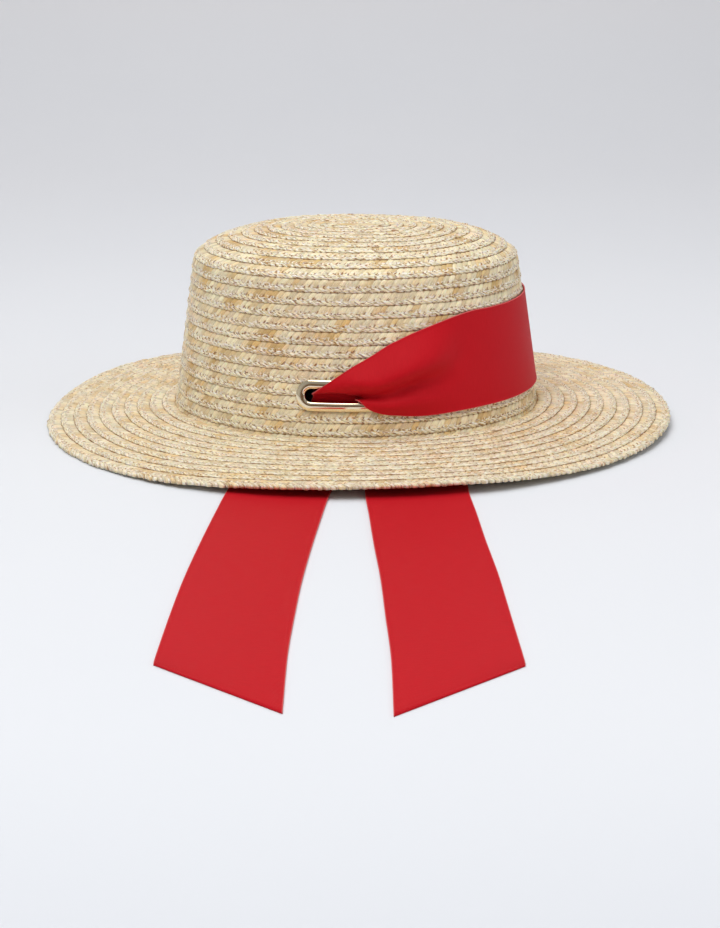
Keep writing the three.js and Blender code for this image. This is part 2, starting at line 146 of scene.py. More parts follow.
def crown_line():
    share = np.linspace(0, 1, TIP_POINTS)
    tip_r = BUTTON_R + (TIP_EDGE_R - BUTTON_R) * share
    tip_z = HAT_HEIGHT - LAP - TIP_DOME * share ** DOME_POWER - TIP_ROLL * share ** ROLL_POWER
    middle_r = SIDE_FOOT_R + FOOT_RADIUS * math.cos(SIDE_LEAN)
    middle_z = SIDE_FOOT_Z + FOOT_RADIUS * math.sin(SIDE_LEAN)
    angle = np.linspace(math.pi + SIDE_LEAN, 1.5 * math.pi, FOOT_POINTS)
    r = np.concatenate([[0], tip_r, [SIDE_FOOT_R], middle_r + FOOT_RADIUS * np.cos(angle)])
    foot_z = middle_z + FOOT_RADIUS * np.sin(angle)
    z = np.concatenate([[HAT_HEIGHT - LAP], tip_z, [SIDE_FOOT_Z], foot_z])
    walked = added_up(np.hypot(np.diff(r), np.diff(z)))
    even = np.arange(0, walked[-1], LINE_STEP)
    r, z = np.interp(even, walked, r), np.interp(even, walked, z)
    window = np.ones(ROUNDING) / ROUNDING
    inner = slice(ROUNDING // 2, -(ROUNDING // 2))
    r[inner], z[inner] = np.convolve(r, window, "valid"), np.convolve(z, window, "valid")
    return even, r, z


LINE, LINE_R, LINE_Z = crown_line()
TIP_END = float(LINE[np.argmin(np.abs(LINE_R - TIP_EDGE_R) + np.abs(LINE_Z - TIP_EDGE_Z))])
SIDE_END = float(LINE[np.argmin(np.abs(LINE_R - SIDE_FOOT_R) + np.abs(LINE_Z - SIDE_FOOT_Z))])
print("crown line:", round(TIP_END, 1), "mm of tip and", round(SIDE_END - TIP_END, 1), "mm of side")

# %% [markdown]
# The brim is a ring that falls gently outward and waves at its edge.
# A short table says how high the edge lifts and how much wider it is at each angle, and a smooth
# closed curve runs through it.

# %% The brim's wave
BRIM_R = 158
SEAM_Z = 10.2
BRIM_WAVE = 5.2
BRIM_CURVE = 1.2
SEAM_R = SIDE_FOOT_R - (SEAM_Z - SIDE_FOOT_Z) * math.tan(SIDE_LEAN) + LAP + GAP
BRIM_TURN = np.array([0, 30, 60, 92, 120, 145, 165, 188, 218, 240, 260, 283, 305, 322, 340])
BRIM_LIFT = [0.75, 0.9, 0.6, 0, 0.7, 0.85, 0.4, 0, 0, 0.3, 0.85, 1, 0.5, 0.35, 0.6]
BRIM_REACH = [0.03, 0.03, 0.01, 0, 0.01, 0.01, 0, 0, 0, 0, 0, 0, 0, 0.01, 0.03]


def closed_curve(turn, values):
    """A smooth closed line through values at BRIM_TURN, read at the angles turn."""
    knots = np.concatenate([BRIM_TURN[-2:] - 360, BRIM_TURN, BRIM_TURN[:3] + 360])
    heights = np.concatenate([values[-2:], values, values[:3]])
    slopes = np.zeros(len(knots))
    slopes[1:-1] = (heights[2:] - heights[:-2]) / (knots[2:] - knots[:-2])
    degrees = np.degrees(turn) % 360
    i = np.searchsorted(knots, degrees, side="right") - 1
    span = knots[i + 1] - knots[i]
    t = (degrees - knots[i]) / span
    start = (1 + 2 * t) * (1 - t) ** 2 * heights[i] + t * (1 - t) ** 2 * span * slopes[i]
    end = t * t * (3 - 2 * t) * heights[i + 1] + t * t * (t - 1) * span * slopes[i + 1]
    return np.maximum(0, start + end)


lifts = [BRIM_WAVE * closed_curve(np.radians(degrees), BRIM_LIFT) for degrees in (0, 90, 180, 270)]
print("brim lifts, mm:", [round(float(lift), 1) for lift in lifts])

# %% [markdown]
# Straw never lies as evenly as a formula. A few slow waves, the same for all rows so that they
# never cut into each other, push the rows about by a third of a millimetre.

# %% Places on the straw
# Each wave: times round, drift from row to row, start and size.
HAND_WAVES = [(3, 0.031, 0.4, 0.16), (5, 0.047, 1.9, 0.12), (8, -0.023, 3.1, 0.08), (13, 0.06, 5.0, 0.05)]
WAVES_FROM = 30  # the waves grow over this length from the middle of the tip
EDGE_STEADY = 6  # the higher, the closer to the brim's edge the waves last
SLOPE_STEP = 1  # length over which the line's slope is taken


def by_hand(across, turn):
    return sum(
        size * np.sin(times * turn + drift * across + start)
        for times, drift, start, size in HAND_WAVES
    )


def on_crown(across, turn):
    r = np.interp(across, LINE, LINE_R)
    x, y = oval(r, turn)
    out = by_hand(across, turn) * np.clip(across / WAVES_FROM, 0, 1)
    half = SLOPE_STEP / 2
    ahead = np.interp(across + half, LINE, LINE_Z) - np.interp(across - half, LINE, LINE_Z)
    level = np.clip(1 - np.abs(ahead), 0, 1)
    z = np.interp(across, LINE, LINE_Z) + out * level
    return np.stack([x + out * np.cos(turn) * (1 - level), y + out * np.sin(turn) * (1 - level), z], -1)


def on_brim(across, turn):
    share = across / (BRIM_R - SEAM_R)
    droop = SEAM_Z - BRIM_WAVE * closed_curve(turn, BRIM_LIFT) - STRAW
    r = SEAM_R + across * (1 + closed_curve(turn, BRIM_REACH))
    x, y = oval(r, turn)
    free = 1 - np.clip(share, 0, 1) ** EDGE_STEADY
    z = SEAM_Z - droop * np.maximum(0, share) ** BRIM_CURVE + by_hand(across, turn) * free
    return np.stack([x, y, z], -1)


print("brim's edge in front:", np.round(on_brim(np.array(BRIM_R - SEAM_R), np.array(-math.pi / 2)), 1))

# %% [markdown]
# A row is a strip of plait about 9 mm wide. It starts tucked under the row before it, and its
# free edge lies on the next one, so about 6.8 mm of it shows.
# A plait is columns of slanting facets that lean one way, then the other, like a herringbone:
# broad lobes first, then the narrow strand that turns over at the free edge.
# The mesh itself is sheared that way: its lines run along the facets' edges. Each facet is then a
# few faces, pillowed in the middle and low at its rim, and no fine grid is needed.
# The lists below hold the points across the strip, by column, and how high each stands.

# %% The plait's section
REPEAT = 3.4  # length of one facet along the row
COLUMNS = [-0.3, 0.03, 0.66, 1.0]  # where margin, lobes and strand begin and end, in what shows
SLANT = [0.1, 0.8, 1.15]  # how far a facet leans over each column, in repeats
ALONG = np.array([0, 0.16, 0.5, 0.84])
PILLOW_ALONG = np.array([0, 0.9, 1, 0.7])
ACROSS_TOP = [0, 0.8, 1, 1.14, 1.5, 1.86, 2, 2.2, 2.5, 2.8, 3]
PILLOW_ACROSS = [0, -0.35, -0.1, 0.6, 0.65, 0.45, -0.3, 0.9, 1.1, 0.9, 0.3]
ACROSS_UNDER = [3, 2.4, 1.2, 0]
RELIEF = 0.55
ROUND = 0.45
LAP_SHOWN = 0.55
SCALLOP = 0.1
RAGGED = 0.07  # how far facets stand out past a free edge, in widths of a row
RAGGED_LAST = 0.12
LAST_TURNED = 0.9  # how much thicker the brim's turned edge is
EDGE_COLUMN = 2.9  # just short of the dark line at a row's free edge
MIDDLE_COLUMN = 1.3  # just past the dark line at a row's tucked edge
UNEVEN_LENGTH = 0.16  # most that a facet's end moves along the row, in repeats
FACET_HEIGHTS = (0.35, 1.2)  # least and most that a facet stands up, in shares of RELIEF
TIP_LENGTHS = (0.5, 1.6)  # least and most that a lobe's tip reaches, in shares of SCALLOP
TIP_SPREAD = 0.3  # how much of a column moves with a lobe's tip
SINK = 0.8  # how far the facets' rims lie below the smooth strip, in shares of RELIEF
ARCH_POWER = 0.7
TUCK_DEPTH = 1.6
STRIP = 1.0  # thickness of the strip at its free edge
STRIP_MORE = 0.35  # most that it is thicker further in
TURN_FROM, TURN_LENGTH = 0.85, 0.15  # where the free edge begins to turn down, in what shows
TURN_DROP = 0.25
SEED = 7


def column_place(column, first=False):
    """Where a column lies across the row; the first row of all has nothing to be tucked under."""
    return np.interp(column, range(len(COLUMNS)), [0.0 if first else COLUMNS[0]] + COLUMNS[1:])


def lean(column):
    """How far the herringbone has leaned at this column, in repeats."""
    return np.interp(column, range(len(COLUMNS)), np.cumsum([0, SLANT[0], SLANT[1], -SLANT[2]]))


print("points round one strip:", len(ACROSS_TOP) + len(ACROSS_UNDER))

# %% [markdown]
# The strip is closed: its points run over the top, round the lower edge, back along the underside
# and up the upper edge, and the two ends of the row meet. So each row is a watertight loop.
# Two maps go with it: "plait" counts facets along and columns across, for the material, and
# "OFBake" lays the row out in straight lengths side by side, for whoever bakes its colours.

# %% One row of plait
TURN_STEPS = 1441
NEAR_ACROSS, NEAR_TURN = 0.4, 0.002  # steps over which the surface's direction is taken


def turn_by_length(place, across):
    """Angles at even lengths round the row, and its length."""
    turn = np.linspace(0, FULL, TURN_STEPS)
    points = place(np.full(turn.shape, across), turn)
    walked = added_up(np.linalg.norm(np.diff(points, axis=0), axis=1))
    return turn, walked, walked[-1]


def plait_row(place, start, end, number, last=False, first=False):
    width = end - start
    turn_list, walked, length = turn_by_length(place, 0.5 * (start + end))
    repeats = int(round(length / REPEAT))
    column = np.array(ACROSS_TOP + ACROSS_UNDER)
    is_top = np.arange(len(column)) < len(ACROSS_TOP)
    pillow = np.where(is_top, (PILLOW_ACROSS + [0] * len(ACROSS_UNDER)), 0)
    facet = (np.arange(repeats)[:, None] + ALONG[None, :]).ravel()
    chance = np.random.default_rng(number + SEED)
    uneven = chance.uniform(*FACET_HEIGHTS, (len(COLUMNS), repeats))
    longer = np.append(chance.uniform(-UNEVEN_LENGTH, UNEVEN_LENGTH, repeats), 0)
    longer[-1] = longer[0]
    uneven_tip = np.repeat(chance.uniform(*TIP_LENGTHS, repeats), len(ALONG))
    bump = np.tile(PILLOW_ALONG, repeats)
    each = np.repeat(uneven[np.floor(column).astype(int)], len(ALONG), axis=1)
    s = (facet + np.interp(facet, np.arange(repeats + 1), longer))[None, :] - lean(column)[:, None]
    turn = np.interp((s % repeats) / repeats * length, walked, turn_list)
    v = np.repeat(column_place(column, first)[:, None], len(facet), 1)
    show = np.clip(v, 0, 1)
    tops = np.clip(1 - np.abs(column - 1) / TIP_SPREAD, 0, 1)[:, None]  # the lobes' tips
    rim = np.clip(column - 2, 0, 1)[:, None] ** 2  # the strand's free edge
    ragged = (RAGGED_LAST if last else RAGGED) * rim
    tip = (bump * uneven_tip)[None, :]
    v = v - SCALLOP * tops * (tip - 0.5) + ragged * tip
    arch = (4 * show * (1 - show)) ** ARCH_POWER
    tuck = np.clip(-v, 0, 1)
    smooth = (0 if last else LAP_SHOWN) * show + ROUND * arch - TUCK_DEPTH * tuck
    relief = RELIEF * (pillow[:, None] * bump[None, :] * each - SINK)
    edge = np.clip((show - TURN_FROM) / TURN_LENGTH, 0, 1)
    thick = STRIP + np.clip(1 - show, 0, STRIP_MORE) + (LAST_TURNED if last else 0.0) * edge
    height = np.where(is_top[:, None], smooth + relief - TURN_DROP * edge ** 2, smooth - thick)
    across = start + v * width
    base = place(across, turn)
    forth = place(across + NEAR_ACROSS, turn) - place(across - NEAR_ACROSS, turn)
    round_ = place(across, turn + NEAR_TURN) - place(across, turn - NEAR_TURN)
    points = base + upright(forth, round_) * height[..., None]
    shown = (column_place(column) - COLUMNS[0]) / (COLUMNS[-1] - COLUMNS[0])
    painted = (MIDDLE_COLUMN if first else 0, EDGE_COLUMN if last else 3)
    return {
        "points": points, "column": np.clip(column, *painted), "facet": facet, "repeats": repeats,
        "length": length, "number": number, "v": shown, "top": is_top,
    }


def sewn_rows(place, edges, number, first=None, last=None):
    """Rows between neighbouring edges; first and last name the odd ones, if any."""
    return [
        plait_row(place, a, b, number + k, last=(k == last), first=(k == first))
        for k, (a, b) in enumerate(zip(edges, edges[1:]))
    ]


print("facets round the tip's edge:", round(turn_by_length(on_crown, TIP_END)[2] / REPEAT))

# %% [markdown]
# Rows become one mesh per piece of the hat. Points, faces and both maps are worked out as whole
# arrays, because a loop over half a million points would take minutes.

# %% Rows into a mesh
BAKE_BAND = 260  # length of one straight stretch in the OFBake map
BAKE_APART = 6  # length left free between two rows
BAKE_MARGIN = 4  # length left free at the end of a stretch
BAKE_INSET, BAKE_SHARE = 0.04, 0.92  # where a stretch begins in its band, and how much it fills
MAP_COLUMNS = 5  # columns of the plait map for each row, of which it uses three


def row_faces(row, offset):
    rings, steps = row["points"].shape[:2]
    j, i = np.meshgrid(np.arange(rings), np.arange(steps), indexing="ij")
    j2, i2 = (j + 1) % rings, (i + 1) % steps
    corner = [(j, i), (j, i2), (j2, i2), (j2, i)]
    quads = np.stack([offset + a * steps + b for a, b in corner], -1).reshape(-1, 4)
    facet = np.concatenate([row["facet"], [row["repeats"]]])
    column = row["column"] + MAP_COLUMNS * row["number"]
    column = np.append(column, column[0])
    bake_v = np.append(np.where(row["top"], 0.5 * row["v"], 0.5 + 0.5 * (1 - row["v"])), 1.0)
    along = row["along"] + facet / row["repeats"] * row["length"]
    band = np.floor(along[i] / BAKE_BAND)[..., None]

    def both(u, v):
        """What a face's corners read from u, along the row, and v, across it."""
        return np.stack([u[i], u[i + 1], u[i + 1], u[i]], -1), np.stack([v[j], v[j], v[j + 1], v[j + 1]], -1)

    plait = np.stack(both(facet, column), -1).reshape(-1, 2)
    x, y = both(along, bake_v)
    x = (x - band * BAKE_BAND) / (BAKE_BAND + BAKE_MARGIN)
    y = band + BAKE_INSET + BAKE_SHARE * y
    return quads, plait, np.stack([x, y], -1).reshape(-1, 2)


def faces_out(mesh):
    """Turns the faces outward if the mesh is inside out."""
    bm = bmesh.new()
    bm.from_mesh(mesh)
    if bm.calc_volume(signed=True) < 0:
        bmesh.ops.reverse_faces(bm, faces=bm.faces)
        bm.to_mesh(mesh)
    bm.free()


def add_maps(mesh, **maps):
    for name, values in maps.items():
        mesh.uv_layers.new(name=name).uv.foreach_set("vector", values.ravel())


def mesh_from_rows(name, rows):
    parts, offset, along = [], 0, 0.0
    for row in rows:
        row["along"] = along
        along += row["length"] + BAKE_APART
        points = row["points"].reshape(-1, 3)
        parts.append((points, *row_faces(row, offset)))
        offset += len(points)
    points, quads, plait, bake = [np.concatenate(part) for part in zip(*parts)]
    bake[:, 1] /= math.floor(along / BAKE_BAND) + 1
    mesh = smooth_mesh(name, points, quads.tolist())
    add_maps(mesh, OFBake=bake, plait=plait)
    mesh.validate()
    faces_out(mesh)
    return mesh


def new_piece(name, mesh, slot, *replaced):
    piece = link(name, mesh)
    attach(piece, "root")
    if replaced:
        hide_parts(*replaced)
    return piece


# %% [markdown]
# The ribbon goes in at one slot and out at the other, so places on the crown's side are needed:
# how far round the crown, how high, and how far out from the straw.

# %% Places on the crown's side
SLOT_LENGTH = 40
SLOT_HEIGHT = 6.6
SLOT_X = -6
SLOT_Z = 32
WALK_STEPS = 720


def side_radius(z):
    return SIDE_FOOT_R - (z - SIDE_FOOT_Z) * math.tan(SIDE_LEAN)


walk_turn = np.linspace(-math.pi / 2, math.pi / 2, WALK_STEPS + 1)
walk_x, walk_y = oval(side_radius(SLOT_Z), walk_turn)
walk_length = added_up(np.hypot(np.diff(walk_x), np.diff(walk_y)))


def turn_at(distance):
    """The angle at a distance round the crown from its nearest point, towards +X."""
    turn = np.interp(np.abs(distance), walk_length, walk_turn) + math.pi / 2
    return np.sign(distance) * turn - math.pi / 2


def on_side(turn, z, out, side=1):
    off = LAP + np.asarray(out, float)
    x, y = oval(side_radius(z) + off * math.cos(SIDE_LEAN), turn)
    return np.stack(np.broadcast_arrays(x, side * y, z + off * math.sin(SIDE_LEAN)), -1)


print("half way round the crown:", round(float(walk_length[-1])), "mm")

# %% [markdown]
# The ribbon is one 50 mm wide cloth about 1.1 m long: a free end on the table, in through one
# eyelet, round half of the crown, out through the other eyelet, and the second free end.
# Cloth simulation could gather it, but would never fold it the way this one is folded. So it is
# drawn as rows of points across the cloth, each row being where one thread of the weft lies.
# GATHERS holds the folded rows at a slot: five places each, from the upper edge over an upper lobe,
# a valley and a lower lobe to the lower edge.

# %% Rows of the ribbon
RIBBON_W = 50
RIBBON_CAD = 1.0
RIBBON_T = 0.55
BAND_LOW_Z = 21.5
WALL = STRAW + LAP
INNER_GAP = 0.6
FLANGE_PROUD = 1.5
LIP_THICK = 0.8
SEAT = GAP + RIBBON_CAD / 2
FLANGE_SEAT = GAP + FLANGE_PROUD + SEAT
INSIDE_SEAT = -(WALL + INNER_GAP + LIP_THICK + SEAT)
EDGE_SHARES = [0, 0.008, 0.016, 0.024]  # closer points in the woven edges, whose upper twins follow
CLOTH_SHARES = np.concatenate([EDGE_SHARES, np.linspace(0.05, 0.95, 28), [0.976, 0.984, 0.992, 1]])
GATHERS = [
    ([-0.41, -0.22, -0.02, 0.18, 0.38], [0.01, 0.03, 0.01, 0.025, 0], [0.75, 0.9, 1, 1.15, 1.3]),
    ([-0.4, -0.22, -0.02, 0.18, 0.37], [0.02, 0.03, 0.028, 0.012, 0], [0.18, 0.28, 0.5, 0.8, 1.05]),
    ([-0.15, -0.1, 0.05, 0.2, 0.26], [0.16, 0.088, 0.02, -0.01, -0.035], [-0.08, -0.14, 0.42, 0.9, 1.12]),
    ([0.1, 0.12, 0.22, 0.23, 0.13], [0.29, 0.12, 0.01, -0.026, -0.04], [0.1, -0.55, 0.42, 0.6, 0.78]),
    ([0.27, 0.28, 0.33, 0.28, 0.19], [0.365, 0.11, 0.0, -0.04, -0.05], [0.15, -0.7, 0.3, 0, -0.05]),
    ([0.38, 0.39, 0.4, 0.35, 0.3], [0.415, 0.115, 0.005, -0.07, -0.13], [0.2, -0.78, 0.24, -0.18, -0.04]),
    ([0.58, 0.58, 0.57, 0.54, 0.5], [0.51, 0.17, 0.025, -0.1, -0.186], [0.21, -0.92, -0.02, -0.38, 0.08]),
    ([0.7, 0.7, 0.69, 0.67, 0.64], [0.55, 0.2, 0.055, -0.09, -0.2], [0.2, -0.95, 0.12, -0.38, 0.14]),
    ([0.85, 0.85, 0.83, 0.8, 0.79], [0.6, 0.25, 0.09, -0.08, -0.215], [0.2, -0.92, 0.16, -0.32, 0.18]),
    ([1.13, 1.13, 1.11, 1.09, 1.07], [0.67, 0.32, 0.13, -0.06, -0.226], [0.19, -0.64, 0.14, -0.12, 0.18]),
    ([1.53, 1.53, 1.52, 1.51, 1.5], [0.75, 0.512, 0.272, 0.025, -0.215], [0.19, 0.16, 0.18, 0.15, 0.18]),
]
FALLS = [(0.62, 1, -0.17, 1), (0.32, 0.88, -0.05, 0.9), (0.1, 0.72, 0, 0.6)]
BAND_START = 1.55
LINE_POINTS = 17  # points of a smooth line between two places
ROW_POINTS = 13  # rows of the cloth between two given ones, before they are spaced evenly


def smooth_line(places, shares):
    """Points at shares of the length of a smooth line through places."""
    p = np.concatenate([[2 * places[0] - places[1]], places, [2 * places[-1] - places[-2]]])
    k = added_up(np.sqrt(np.linalg.norm(np.diff(p, axis=0), axis=1)))
    spans = []
    for i in range(len(places) - 1):
        knots = np.linspace(k[i + 1], k[i + 2], LINE_POINTS)[:-1, None]
        spans.append(smooth_span(p[i:i + 4], k[i:i + 4], knots))
    line = np.concatenate(spans + [p[-2:-1]])
    walked = added_up(np.linalg.norm(np.diff(line, axis=0), axis=1))
    return np.stack([np.interp(shares * walked[-1], walked, line[:, k]) for k in range(3)], -1)


def smooth_span(p, k, t):
    """A smooth curve between the middle two of four places p, whose knots are k, at the knots t."""
    ab = p[0] + (p[1] - p[0]) * (t - k[0]) / (k[1] - k[0])
    bc = p[1] + (p[2] - p[1]) * (t - k[1]) / (k[2] - k[1])
    cd = p[2] + (p[3] - p[2]) * (t - k[2]) / (k[3] - k[2])
    abc = ab + (bc - ab) * (t - k[0]) / (k[2] - k[0])
    bcd = bc + (cd - bc) * (t - k[1]) / (k[3] - k[1])
    return abc + (bcd - abc) * (t - k[1]) / (k[2] - k[1])


def gather_row(along, up, depth, side):
    out = FLANGE_SEAT + (INSIDE_SEAT - FLANGE_SEAT) * np.array(depth)
    z = SLOT_Z + np.array(up) * RIBBON_W
    turn = turn_at(SLOT_X + np.array(along) * SLOT_LENGTH)
    return smooth_line(on_side(turn, z, out, side), CLOTH_SHARES)


def fall_row(fall, width, shift, out, side):
    along = (shift + width * (CLOTH_SHARES - 0.5)) * RIBBON_W
    z = np.full(along.shape, SLOT_Z * (1 - fall))
    inside = np.full(along.shape, INSIDE_SEAT - out * RIBBON_CAD)
    return on_side(turn_at(SLOT_X + along), z, inside, side)


def band_row(turn):
    z = BAND_LOW_Z + RIBBON_W * math.cos(SIDE_LEAN) * (1 - CLOTH_SHARES)
    return on_side(np.full(z.shape, turn), z, np.full(z.shape, SEAT))


print("rows at a slot:", len(GATHERS))

# %% [markdown]
# On the table the cloth follows a gently bent middle line to its slanted cut, as drawn by the two
# tables below: x and y of the middle line, in millimetres.

# %% The free ends
LEFT_END_X = -51
LEFT_REACH = 362
RIGHT_END_X = 38
RIGHT_REACH = 365
CUT_DEPTH = 45.5
LEFT_RUN = [
    (0.255, 0.36), (0.29, 0.48), (0.34, 0.6), (0.39, 0.684), (0.5, 0.775),
    (0.73, 0.92), (0.86, 0.969), (0.985, 1),
]
RIGHT_RUN = [
    (-0.19, 0.06), (0.1, 0.67), (0.2, 0.82), (0.27, 0.84),
    (0.39, 0.793), (0.5, 0.834), (0.61, 0.875), (0.73, 0.93), (0.86, 0.966), (0.985, 1),
]
TURNS_DOWN = [(0.14, 0.52), (0.45, 0.16)]


def lay_row(x, y, heading, early=0.0, late=0.0):
    forth = np.array([math.sin(heading), -math.cos(heading), 0])
    across = np.array([math.cos(heading), math.sin(heading), 0])
    back = early + (late - early) * CLOTH_SHARES
    row = np.array([x, y, RIBBON_T / 2]) + np.outer((CLOTH_SHARES - 0.5) * RIBBON_W, across)
    return row + np.outer(back, forth)


def free_rows(run, end_x, end_reach, side):
    mid = [(SLOT_X + (end_x - SLOT_X) * sway, -reach * end_reach) for reach, sway in run]
    flat = []
    for i, (x, y) in enumerate(mid):
        before, after = mid[max(0, i - 1)], mid[min(len(mid) - 1, i + 1)]
        flat.append(lay_row(x, y, math.atan2(after[0] - before[0], before[1] - after[1])))
    wall = fall_row(*FALLS[0], side)
    turned = []
    for forth, up in TURNS_DOWN:
        row = wall + (flat[0] - wall) * forth
        row[:, 2] = RIBBON_T / 2 + (wall[:, 2] - RIBBON_T / 2) * up
        turned.append(row)
    outer = end_reach * (1 - run[-1][0])
    cut = (outer, outer + CUT_DEPTH) if side > 0 else (outer + CUT_DEPTH, outer)
    flat.append(lay_row(*mid[-1], 0, *cut))
    return turned + flat


def one_side(run, end_x, end_reach, side):
    falls = [fall_row(*row, side) for row in FALLS]
    gathers = [gather_row(*row, side) for row in GATHERS]
    return free_rows(run, end_x, end_reach, side)[::-1] + falls + gathers


BAND_TURN = math.radians(7.5)
first_band = math.ceil(float(turn_at(SLOT_X + BAND_START * SLOT_LENGTH)) / BAND_TURN)
ribbon_rows = np.array(
    one_side(LEFT_RUN, LEFT_END_X, LEFT_REACH, 1)
    + [band_row(i * BAND_TURN) for i in range(first_band, 1 - first_band)]
    + one_side(RIGHT_RUN, RIGHT_END_X, RIGHT_REACH, -1)[::-1]
)
print("ribbon rows:", ribbon_rows.shape)

# %% [markdown]
# A smooth curve through the rows gives the cloth in between. It is then cut into steps of about
# 2 mm, and given its thickness: a thin web between two slightly thicker woven edges.

# %% The ribbon's cloth
CLOTH_STEP = 1.9
SELVEDGE = 0.22  # how much thicker the woven edges are
SELVEDGE_WIDTH = 0.9
OFF_TABLE = 0.02
LANES = 4  # lengths that the cloth is cut into in its OFBake map


def smooth_rows(rows):
    """Evenly spaced rows on smooth curves through the given ones."""
    gap = np.sqrt(np.linalg.norm(np.diff(rows, axis=0), axis=2).mean(1))
    knots = added_up(gap)
    p = np.concatenate([[2 * rows[0] - rows[1]], rows, [2 * rows[-1] - rows[-2]]])
    k = np.concatenate([[-gap[0]], knots, [knots[-1] + gap[-1]]])
    fine = []
    for i in range(len(rows) - 1):
        between = np.linspace(k[i + 1], k[i + 2], ROW_POINTS)[:-1]
        fine += [smooth_span(p[i:i + 4], k[i:i + 4], t) for t in between]
    fine = np.array(fine + [rows[-1]])
    walked = added_up(np.linalg.norm(np.diff(fine, axis=0), axis=2).mean(1))
    even = np.linspace(0, walked[-1], int(walked[-1] / CLOTH_STEP))
    i = np.clip(np.searchsorted(walked, even, side="right") - 1, 0, len(walked) - 2)
    t = ((even - walked[i]) / (walked[i + 1] - walked[i]))[:, None, None]
    return fine[i] * (1 - t) + fine[i + 1] * t, even


cloth, cloth_along = smooth_rows(ribbon_rows)
cloth_length = float(cloth_along[-1])
cloth[..., 2] = np.maximum(cloth[..., 2], RIBBON_T / 2)


def cloth_mesh(name, sheet, along):
    rows, across = sheet.shape[:2]
    normal = upright(np.gradient(sheet, axis=0), np.gradient(sheet, axis=1))
    edge = np.minimum(CLOTH_SHARES, 1 - CLOTH_SHARES) * RIBBON_W
    half = 0.5 * (RIBBON_T + SELVEDGE * (edge < SELVEDGE_WIDTH))[None, :, None]
    ring = np.concatenate([sheet + normal * half, (sheet - normal * half)[:, ::-1]], axis=1)
    ring[..., 2] = np.maximum(ring[..., 2], OFF_TABLE)
    count = 2 * across
    i, j = np.meshgrid(np.arange(rows - 1), np.arange(count), indexing="ij")
    j2 = (j + 1) % count
    corner = [(i, j), (i + 1, j), (i + 1, j2), (i, j2)]
    quads = np.stack([a * count + b for a, b in corner], -1).reshape(-1, 4)
    caps = []
    for start, flip in ((0, 1), ((rows - 1) * count, -1)):
        for k in range(across - 1):
            cap = [start + k, start + k + 1, start + count - 2 - k, start + count - 1 - k]
            caps.append(cap[::flip])
    faces = np.concatenate([quads, np.array(caps)])
    mesh = smooth_mesh(name, ring.reshape(-1, 3), faces.tolist())
    share = np.concatenate([CLOTH_SHARES, CLOTH_SHARES[::-1]])
    place = np.stack(np.broadcast_arrays(along[:, None], share[None, :]), -1).reshape(-1, 2)
    side = np.tile(np.concatenate([np.zeros(across), np.ones(across)]), rows)
    corners = faces.ravel()
    uv = place[corners]
    add_maps(mesh, OFBake=bake_map(uv, side, faces), cloth=uv)
    faces_out(mesh)
    return mesh


def bake_map(uv, side, faces):
    """The front's and the back's strips, each cut into four lengths laid side by side."""
    length = cloth_length / LANES
    mid = uv.reshape(-1, 4, 2)[:, :, 0].mean(1)
    lane = np.clip(np.floor(mid / length), 0, LANES - 1)
    back = (side[faces].mean(1) > 0.5).astype(float)
    x = (uv[:, 0] - np.repeat(lane, 4) * length) / (length + BAKE_MARGIN)
    y = (np.repeat(2 * lane + back, 4) + BAKE_INSET + BAKE_SHARE * uv[:, 1]) / (2 * LANES)
    return np.stack([0.01 + 0.97 * x, y], -1)  # a little clear of the map's sides


ribbon = new_piece("ribbon_cloth", cloth_mesh("ribbon_cloth", cloth, cloth_along), "ribbon", "ribbon")
print("ribbon:", round(cloth_length), "mm long,", len(ribbon.data.polygons), "faces")

# %% [markdown]
# The eyelets are oblong rings of polished metal. A ring is a section swept round an oblong, and
# the oblong is bent onto the crown's side. The section has the soft dome of the flange, the barrel
# that lines the slot, and the lip rolled over inside.

# %% Eyelets
BARREL_WALL = 0.8
FLANGE_WIDTH = 4.65
LIP_WIDTH = 2.6
LIP_CORNER = 0.3
RIM_EDGE = 0.15  # height of the flange's edge
DOME_STEPS = 15
DOME_FULL, DOME_LOWER = 0.55, 0.22  # the dome's fullness, and its drop further out
BEND_STEPS = 28
STRAIGHT_STEPS = 24


def oblong(distance, out, side):
    straight = SLOT_LENGTH / 2 - SLOT_HEIGHT / 2
    along, up = [], []
    for end in (1, -1):
        angle = end * (math.pi / 2) * (1 - 2 * np.arange(BEND_STEPS + 1) / BEND_STEPS)
        along.append(end * (straight + distance * np.cos(angle)))
        up.append(distance * np.sin(angle))
        share = np.arange(1, STRAIGHT_STEPS) / STRAIGHT_STEPS
        along.append(end * straight * (1 - 2 * share))
        up.append(np.full(share.shape, -end * distance))
    along, up = np.concatenate(along), np.concatenate(up)
    return on_side(turn_at(SLOT_X + along), SLOT_Z + up, np.full(along.shape, out), side)


def eyelet_section():
    hole = SLOT_HEIGHT / 2
    inside = -(WALL + INNER_GAP)
    section = []
    for angle in np.linspace(math.pi, 0, DOME_STEPS):  # over the dome, from the hole to the rim
        share = 0.5 * (1 + math.cos(angle))
        rise = math.sin(angle) ** DOME_FULL * (1 - DOME_LOWER + DOME_LOWER * (1 - share))
        section.append((hole + share * FLANGE_WIDTH, GAP + RIM_EDGE + (FLANGE_PROUD - RIM_EDGE) * rise))
    lip, end = hole + LIP_WIDTH, inside - LIP_THICK
    section += [(hole + FLANGE_WIDTH, GAP), (hole + BARREL_WALL, GAP), (hole + BARREL_WALL, inside)]
    section += [(lip - LIP_CORNER, inside), (lip, inside - LIP_CORNER), (lip - LIP_CORNER, end)]
    section += [(hole + LIP_CORNER, end), (hole, end + LIP_CORNER)]
    return section


